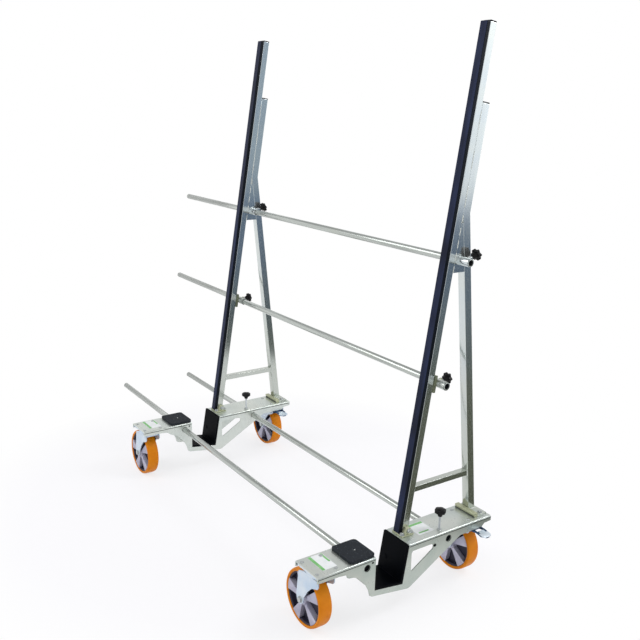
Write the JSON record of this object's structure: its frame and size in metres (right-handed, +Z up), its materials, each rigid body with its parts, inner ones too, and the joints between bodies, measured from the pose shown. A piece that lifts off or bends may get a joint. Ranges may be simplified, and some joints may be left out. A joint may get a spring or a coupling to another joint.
{
  "type": "sheet goods cart",
  "caption": "Sheet goods cart: two leaning end frames with rubber faced posts and stepped bases on swivel casters, joined by round bars that let the width be set.",
  "frame": {"origin": "on the floor under the middle of the bounding box", "axes": "+X along the bars toward the frame with the flush bar ends, +Y from the front arms to the rear of the bases, +Z up"},
  "size_m": [2.09, 0.752, 1.9022],
  "materials": {
    "zinc_steel": "zinc plated, semi-gloss",
    "bright_steel": "bright drawn tube",
    "blue_zinc": "blue passivated zinc",
    "black_rubber": "smooth extruded rubber",
    "grey_rubber": "granulated rubber",
    "black_plastic": "moulded",
    "orange_tyre": "cast polyurethane",
    "cast_aluminium": "as cast"
  },
  "bodies": {
    "right_frame": {"right_base_channel": "zinc_steel", "right_well_lining": "black_rubber", "right_front_pad": "grey_rubber", "right_post_foot": "zinc_steel", "right_post_tube": "zinc_steel", "right_post_facing": "black_rubber", "right_post_cap": "black_plastic", "right_strut_foot": "zinc_steel", "right_rear_strut": "zinc_steel", "right_strut_cap": "black_plastic", "right_cross_brace": "zinc_steel", "right_head_gusset": "zinc_steel", "right_middle_bracket": "zinc_steel", "right_front_caster_head": "blue_zinc", "right_rear_caster_head": "blue_zinc"},
    "left_frame": {"left_base_channel": "zinc_steel", "left_well_lining": "black_rubber", "left_front_pad": "grey_rubber", "left_post_foot": "zinc_steel", "left_post_tube": "zinc_steel", "left_post_facing": "black_rubber", "left_post_cap": "black_plastic", "left_strut_foot": "zinc_steel", "left_rear_strut": "zinc_steel", "left_strut_cap": "black_plastic", "left_cross_brace": "zinc_steel", "left_head_gusset": "zinc_steel", "left_middle_bracket": "zinc_steel", "left_front_caster_head": "blue_zinc", "left_rear_caster_head": "blue_zinc"},
    "front_lower_bar": {"front_lower_bar": "bright_steel"},
    "rear_lower_bar": {"rear_lower_bar": "bright_steel"},
    "middle_bar": {"middle_bar": "bright_steel"},
    "top_bar": {"top_bar": "bright_steel"},
    "right_top_knob": {"right_top_knob": "black_plastic"},
    "right_middle_knob": {"right_middle_knob": "black_plastic"},
    "right_deck_knob": {"right_deck_knob": "black_plastic"},
    "right_front_swivel": {"right_front_caster_fork": "blue_zinc", "right_front_wheel_axle": "bright_steel"},
    "right_front_wheel": {"right_front_wheel_rim": "cast_aluminium", "right_front_wheel_tyre": "orange_tyre"},
    "right_rear_swivel": {"right_rear_caster_fork": "blue_zinc", "right_rear_wheel_axle": "bright_steel"},
    "right_rear_wheel": {"right_rear_wheel_rim": "cast_aluminium", "right_rear_wheel_tyre": "orange_tyre"},
    "right_rear_pedal": {"right_rear_brake_pedal": "blue_zinc"},
    "left_top_knob": {"left_top_knob": "black_plastic"},
    "left_middle_knob": {"left_middle_knob": "black_plastic"},
    "left_deck_knob": {"left_deck_knob": "black_plastic"},
    "left_front_swivel": {"left_front_caster_fork": "blue_zinc", "left_front_wheel_axle": "bright_steel"},
    "left_front_wheel": {"left_front_wheel_rim": "cast_aluminium", "left_front_wheel_tyre": "orange_tyre"},
    "left_rear_swivel": {"left_rear_caster_fork": "blue_zinc", "left_rear_wheel_axle": "bright_steel"},
    "left_rear_wheel": {"left_rear_wheel_rim": "cast_aluminium", "left_rear_wheel_tyre": "orange_tyre"},
    "left_rear_pedal": {"left_rear_brake_pedal": "blue_zinc"}
  },
  "joints": [
    {"name": "frame_spread", "type": "slide", "parent": "right_frame", "child": "left_frame", "axis": [1, 0, 0], "range_m": [-0.5, 0.95]},
    {"name": "front_lower_bar_slide", "type": "slide", "parent": "right_frame", "child": "front_lower_bar", "axis": [1, 0, 0], "range_m": [-0.02, 0.5]},
    {"name": "rear_lower_bar_slide", "type": "slide", "parent": "right_frame", "child": "rear_lower_bar", "axis": [1, 0, 0], "range_m": [-0.02, 0.5]},
    {"name": "middle_bar_slide", "type": "slide", "parent": "right_frame", "child": "middle_bar", "axis": [1, 0, 0], "range_m": [-0.02, 0.5]},
    {"name": "top_bar_slide", "type": "slide", "parent": "right_frame", "child": "top_bar", "axis": [1, 0, 0], "range_m": [-0.02, 0.5]},
    {"name": "right_top_knob_turn", "type": "hinge", "parent": "right_frame", "child": "right_top_knob", "pos_m": [0.958, 0.194, 1.168], "axis": [0, 0.9397, 0.342], "range_deg": [0, 540]},
    {"name": "right_middle_knob_turn", "type": "hinge", "parent": "right_frame", "child": "right_middle_knob", "pos_m": [0.919, 0.138, 0.761], "axis": [0, 0.9976, 0.0698], "range_deg": [0, 540]},
    {"name": "right_deck_knob_turn", "type": "hinge", "parent": "right_frame", "child": "right_deck_knob", "pos_m": [0.977, 0.146, 0.211], "axis": [0, 0, 1], "range_deg": [0, 540]},
    {"name": "right_front_caster_swivel", "type": "hinge", "parent": "right_frame", "child": "right_front_swivel", "pos_m": [0.937, -0.328, 0.21], "axis": [0, 0, 1], "continuous": true},
    {"name": "right_front_wheel_spin", "type": "hinge", "parent": "right_front_swivel", "child": "right_front_wheel", "pos_m": [0.885, -0.328, 0.09937], "axis": [0, 1, 0], "continuous": true},
    {"name": "right_rear_caster_swivel", "type": "hinge", "parent": "right_frame", "child": "right_rear_swivel", "pos_m": [0.937, 0.32, 0.21], "axis": [0, 0, 1], "continuous": true},
    {"name": "right_rear_wheel_spin", "type": "hinge", "parent": "right_rear_swivel", "child": "right_rear_wheel", "pos_m": [0.885, 0.32, 0.09937], "axis": [0, 1, 0], "continuous": true},
    {"name": "right_rear_brake", "type": "hinge", "parent": "right_rear_swivel", "child": "right_rear_pedal", "pos_m": [0.973, 0.32, 0.192], "axis": [0, 1, 0], "range_deg": [0, 12]},
    {"name": "left_top_knob_turn", "type": "hinge", "parent": "left_frame", "child": "left_top_knob", "pos_m": [-0.374, 0.194, 1.168], "axis": [0, 0.9397, 0.342], "range_deg": [0, 540]},
    {"name": "left_middle_knob_turn", "type": "hinge", "parent": "left_frame", "child": "left_middle_knob", "pos_m": [-0.413, 0.138, 0.761], "axis": [0, 0.9976, 0.0698], "range_deg": [0, 540]},
    {"name": "left_deck_knob_turn", "type": "hinge", "parent": "left_frame", "child": "left_deck_knob", "pos_m": [-0.355, 0.146, 0.211], "axis": [0, 0, 1], "range_deg": [0, 540]},
    {"name": "left_front_caster_swivel", "type": "hinge", "parent": "left_frame", "child": "left_front_swivel", "pos_m": [-0.395, -0.328, 0.21], "axis": [0, 0, 1], "continuous": true},
    {"name": "left_front_wheel_spin", "type": "hinge", "parent": "left_front_swivel", "child": "left_front_wheel", "pos_m": [-0.447, -0.328, 0.09937], "axis": [0, 1, 0], "continuous": true},
    {"name": "left_rear_caster_swivel", "type": "hinge", "parent": "left_frame", "child": "left_rear_swivel", "pos_m": [-0.395, 0.32, 0.21], "axis": [0, 0, 1], "continuous": true},
    {"name": "left_rear_wheel_spin", "type": "hinge", "parent": "left_rear_swivel", "child": "left_rear_wheel", "pos_m": [-0.447, 0.32, 0.09937], "axis": [0, 1, 0], "continuous": true},
    {"name": "left_rear_brake", "type": "hinge", "parent": "left_rear_swivel", "child": "left_rear_pedal", "pos_m": [-0.359, 0.32, 0.192], "axis": [0, 1, 0], "range_deg": [0, 12]}
  ]
}
